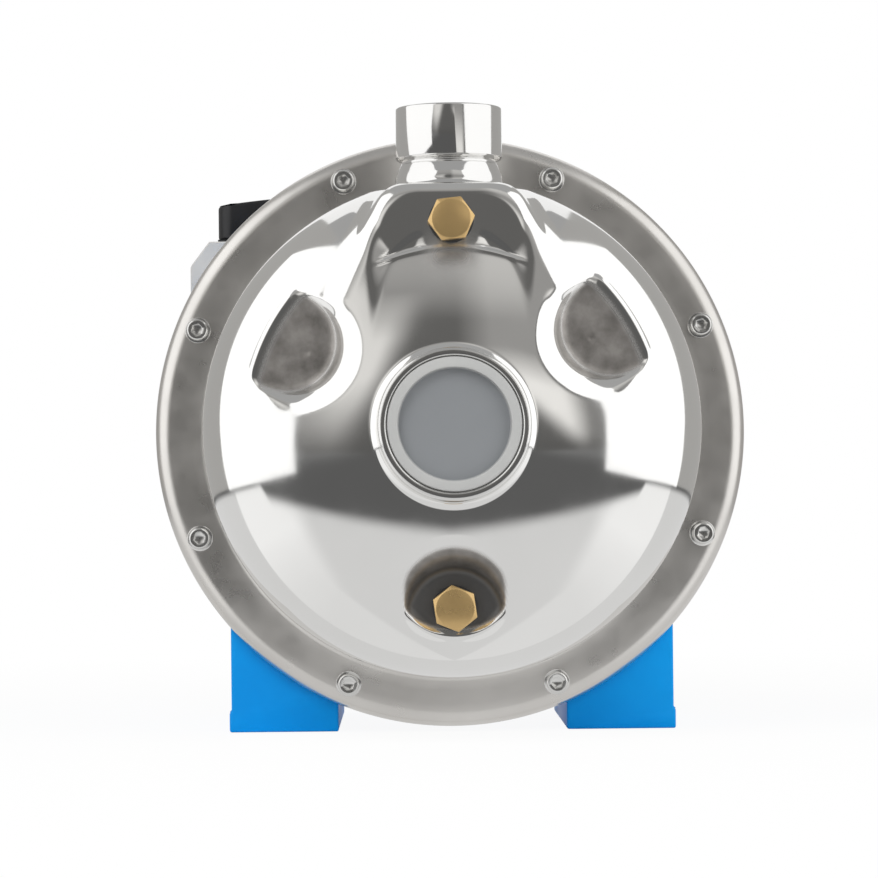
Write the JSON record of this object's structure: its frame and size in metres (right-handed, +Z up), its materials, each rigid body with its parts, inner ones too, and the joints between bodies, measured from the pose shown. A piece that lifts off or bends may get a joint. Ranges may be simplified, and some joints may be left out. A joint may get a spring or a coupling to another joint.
{
  "type": "centrifugal pump",
  "caption": "Close-coupled self-priming jet pump: a drawn stainless casing with front suction and top discharge sockets, on a finned motor with a terminal box and two feet.",
  "frame": {"origin": "on the floor, at the centre of the four foot bolts", "axes": "+Z up; the shaft lies along Y at z 0.117 m, with the suction socket facing -Y and the motor at +Y; +X is to the right seen from the suction side"},
  "size_m": [0.23, 0.3593, 0.2375],
  "materials": {
    "stainless": "deep-drawn stainless sheet, polished on the dome and satin on the flange",
    "zinc_steel": "bright zinc-plated steel",
    "brass": "turned brass",
    "clear_cap": "grey moulded polyethylene",
    "blue_paint": "blue paint on cast aluminium",
    "grey_plastic": "light grey moulded plastic",
    "black_plastic": "black moulded plastic",
    "rubber": "black nitrile rubber",
    "seat_ceramic": "ground ceramic",
    "carbon": "pressed carbon",
    "wheel_steel": "stainless sheet",
    "moulding": "glass-filled plastic",
    "shaft_steel": "ground steel",
    "bearing_steel": "ground bearing steel",
    "laminations": "stacked electrical steel",
    "copper": "enamelled copper wire",
    "can": "bare aluminium can"
  },
  "bodies": {
    "pump": {"pump_casing": "stainless", "suction_socket": "stainless", "discharge_socket": "stainless", "priming_boss": "stainless", "drain_boss": "stainless", "casing_screws": "zinc_steel", "casing_washers": "zinc_steel", "casing_seal_ring": "rubber", "seal_plate": "stainless", "ejector_body": "moulding", "ejector_nozzle": "moulding", "diffuser": "moulding", "seal_seat": "seat_ceramic", "motor_bracket": "blue_paint", "front_bearing_outer_ring": "bearing_steel", "rear_bearing_outer_ring": "bearing_steel", "preload_ring": "shaft_steel", "stator_core": "laminations", "stator_windings": "copper", "motor_housing": "blue_paint", "rear_end_shield": "blue_paint", "tie_rods": "zinc_steel", "fan_cover": "black_plastic", "fan_cover_screws": "zinc_steel", "terminal_box_base": "grey_plastic", "terminal_box_lid": "black_plastic", "lid_gasket": "rubber", "lid_screws": "zinc_steel", "terminal_block": "moulding", "terminal_studs": "brass", "capacitor": "can", "cable_gland": "grey_plastic", "gland_nut": "grey_plastic"},
    "rotor": {"shaft": "shaft_steel", "rotor_core": "laminations", "front_bearing_inner_ring": "bearing_steel", "rear_bearing_inner_ring": "bearing_steel", "impeller": "wheel_steel", "impeller_nut": "brass", "impeller_key": "shaft_steel", "seal_ring": "carbon", "seal_bellows": "rubber", "water_slinger": "rubber", "cooling_fan": "moulding", "fan_clip": "zinc_steel"},
    "front_cage": {"front_bearing_balls": "bearing_steel"},
    "rear_cage": {"rear_bearing_balls": "bearing_steel"},
    "cap": {"suction_cap": "clear_cap"},
    "priming_washer": {"priming_gasket": "rubber"},
    "priming_screw": {"priming_plug": "brass"},
    "drain_washer": {"drain_gasket": "rubber"},
    "drain_screw": {"drain_plug": "brass"}
  },
  "joints": [
    {"name": "rotor_spin", "type": "hinge", "parent": "pump", "child": "rotor", "pos_m": [0, 0, 0.117], "axis": [0, 1, 0], "continuous": true},
    {"name": "front_cage_spin", "type": "hinge", "parent": "pump", "child": "front_cage", "pos_m": [0, -0.015, 0.117], "axis": [0, 1, 0], "continuous": true},
    {"name": "rear_cage_spin", "type": "hinge", "parent": "pump", "child": "rear_cage", "pos_m": [0, 0.132, 0.117], "axis": [0, 1, 0], "continuous": true},
    {"name": "suction_cap_slide", "type": "slide", "parent": "pump", "child": "cap", "axis": [0, -1, 0], "range_m": [0, 0.06]},
    {"name": "priming_advance", "type": "slide", "parent": "pump", "child": "priming_washer", "axis": [0, -1, 0], "range_m": [0, 0.00936]},
    {"name": "priming_turn", "type": "hinge", "parent": "priming_washer", "child": "priming_screw", "pos_m": [0, -0.14945, 0.192], "axis": [0, -1, 0], "range_deg": [0, 2520]},
    {"name": "drain_advance", "type": "slide", "parent": "pump", "child": "drain_washer", "axis": [0, -1, 0], "range_m": [0, 0.00936]},
    {"name": "drain_turn", "type": "hinge", "parent": "drain_washer", "child": "drain_screw", "pos_m": [0, -0.14568, 0.051], "axis": [0, -1, 0], "range_deg": [0, 2520]}
  ],
  "couplings": [
    {"joint": "front_cage_spin", "follows": "rotor_spin", "ratio": 0.3817},
    {"joint": "rear_cage_spin", "follows": "rotor_spin", "ratio": 0.3812},
    {"joint": "priming_advance", "follows": "priming_turn", "m_per_rad": 0.00021279},
    {"joint": "drain_advance", "follows": "drain_turn", "m_per_rad": 0.00021279}
  ]
}
